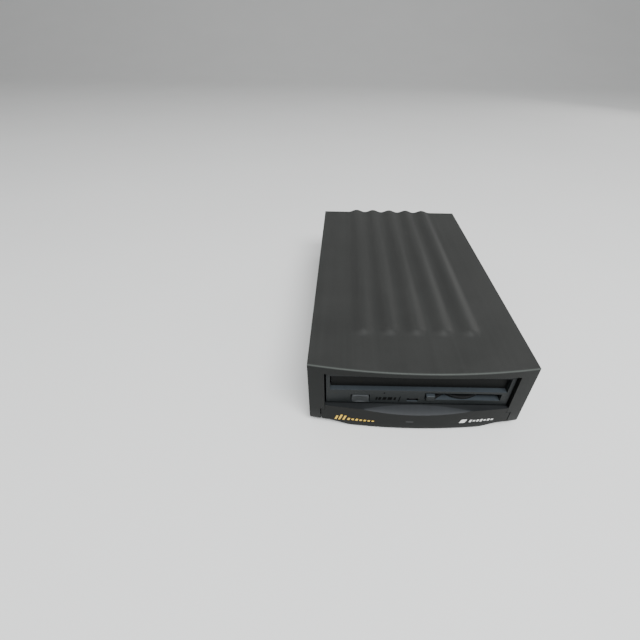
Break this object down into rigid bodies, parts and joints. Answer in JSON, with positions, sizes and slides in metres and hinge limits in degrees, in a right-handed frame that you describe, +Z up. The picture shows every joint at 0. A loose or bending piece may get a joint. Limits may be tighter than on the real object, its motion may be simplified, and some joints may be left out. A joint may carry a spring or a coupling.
{
  "type": "external removable-cartridge disk drive",
  "caption": "Desktop disk drive for removable cartridges: a moulded case round a standard-width mechanism with a flap door, stop button and swing lever.",
  "frame": {"origin": "on the surface it stands on, under the middle of the case", "axes": "+Z up, +Y from the front to the back, +X to the right as seen from the front"},
  "size_m": [0.121, 0.2115, 0.0485],
  "materials": {
    "case_plastic": "fine-textured charcoal moulding",
    "panel_plastic": "satin black moulding",
    "rubber": "soft matte rubber",
    "zinc_steel": "zinc-plated steel",
    "chassis_metal": "die-cast, as cast",
    "plate_steel": "rolled sheet, satin",
    "bezel_plastic": "satin blue-black moulding",
    "door_plastic": "satin black moulding",
    "button_plastic": "satin grey moulding",
    "black_plastic": "glass-filled black plastic",
    "smoked_lens": "smoked clear plastic",
    "amber_led": "tinted clear epoxy",
    "motor_metal": "turned",
    "arm_aluminium": "machined",
    "coil_copper": "enamelled copper wire",
    "magnet_nickel": "nickel-plated",
    "cream_plastic": "unfilled cream plastic",
    "ribbon_sheath": "flexible grey sheath",
    "lead_sheath": "flexible red sheath",
    "board_laminate": "green solder mask",
    "pin_brass": "gold-flashed"
  },
  "bodies": {
    "root": {"top_cover": "case_plastic", "bottom_tray": "case_plastic", "rear_panel": "panel_plastic", "rubber_feet": "rubber", "case_screws": "zinc_steel", "drive_screws": "zinc_steel", "drive_bracket": "zinc_steel", "small_screws": "zinc_steel", "carriage_posts": "zinc_steel", "lever_post": "zinc_steel", "door_pin": "zinc_steel", "arm_post": "zinc_steel", "jack_screws": "zinc_steel", "port_shell_lower": "zinc_steel", "port_shell_upper": "zinc_steel", "lever_clip": "zinc_steel", "door_spring": "zinc_steel", "drive_chassis": "chassis_metal", "drive_top_plate": "plate_steel", "magnet_yoke_lower": "plate_steel", "magnet_yoke_upper": "plate_steel", "drive_bezel": "bezel_plastic", "stop_switch": "black_plastic", "board_chips": "black_plastic", "drive_data_header": "black_plastic", "ribbon_plug_front": "black_plastic", "ribbon_plug_rear": "black_plastic", "port_insert_lower": "black_plastic", "port_insert_upper": "black_plastic", "power_inlet": "black_plastic", "switch_body": "black_plastic", "id_housing": "black_plastic", "cartridge_guide_left": "black_plastic", "cartridge_guide_right": "black_plastic", "status_window": "smoked_lens", "status_led": "amber_led", "coil_magnets": "magnet_nickel", "head_ramp": "cream_plastic", "drive_power_header": "cream_plastic", "power_plug_front": "cream_plastic", "power_plug_rear": "cream_plastic", "ribbon_cable": "ribbon_sheath", "power_leads": "lead_sheath", "drive_board": "board_laminate", "io_board": "board_laminate", "inlet_pins": "pin_brass"},
    "door": {"cartridge_door": "door_plastic"},
    "stop_key": {"stop_button": "button_plastic"},
    "lever": {"eject_lever": "bezel_plastic"},
    "slide": {"loading_slide": "chassis_metal"},
    "motor": {"motor_carriage": "chassis_metal", "spindle_motor": "motor_metal"},
    "spindle": {"spindle_hub": "motor_metal"},
    "heads": {"head_arm": "arm_aluminium", "head_coil": "coil_copper", "read_heads": "magnet_nickel"},
    "rocker": {"switch_rocker": "black_plastic"},
    "id_drum": {"id_wheel": "cream_plastic"},
    "id_key_up": {"id_button_up": "button_plastic"},
    "id_key_down": {"id_button_down": "button_plastic"}
  },
  "joints": [
    {"name": "door_hinge", "type": "hinge", "parent": "root", "child": "door", "pos_m": [0, -0.095, 0.0393], "axis": [1, 0, 0], "range_deg": [0, 88], "stiffness_Nm_per_rad": 0.002, "springref_deg": -22.92, "deforming": ["door_spring"]},
    {"name": "stop_press", "type": "slide", "parent": "root", "child": "stop_key", "axis": [0, 1, 0], "range_m": [0, 0.0012], "stiffness_N_per_m": 400},
    {"name": "lever_swing", "type": "hinge", "parent": "root", "child": "lever", "pos_m": [0.0251, -0.08565, 0.0215], "axis": [0, 0, 1], "range_deg": [0, 104.55]},
    {"name": "slide_travel", "type": "slide", "parent": "root", "child": "slide", "axis": [0, 1, 0], "range_m": [0, 0.005]},
    {"name": "motor_lift", "type": "slide", "parent": "root", "child": "motor", "axis": [0, 0, 1], "range_m": [0, 0.0024]},
    {"name": "spindle_spin", "type": "hinge", "parent": "motor", "child": "spindle", "pos_m": [0, -0.04405, 0.027], "axis": [0, 0, 1], "continuous": true},
    {"name": "head_swing", "type": "hinge", "parent": "root", "child": "heads", "pos_m": [0.022, 0.017, 0.0315], "axis": [0, 0, 1], "range_deg": [0, 62]},
    {"name": "power_rocker", "type": "hinge", "parent": "root", "child": "rocker", "pos_m": [0.043, 0.09865, 0.0185], "axis": [1, 0, 0], "range_deg": [0, 16]},
    {"name": "id_wheel_turn", "type": "hinge", "parent": "root", "child": "id_drum", "pos_m": [0.017, 0.09745, 0.034], "axis": [1, 0, 0], "continuous": true},
    {"name": "id_up_press", "type": "slide", "parent": "root", "child": "id_key_up", "axis": [0, -1, 0], "range_m": [0, 0.001], "stiffness_N_per_m": 300},
    {"name": "id_down_press", "type": "slide", "parent": "root", "child": "id_key_down", "axis": [0, -1, 0], "range_m": [0, 0.001], "stiffness_N_per_m": 300}
  ],
  "couplings": [
    {"joint": "lever_swing", "follows": "slide_travel", "rad_per_m": 364.94},
    {"joint": "motor_lift", "follows": "slide_travel", "ratio": 0.48}
  ]
}
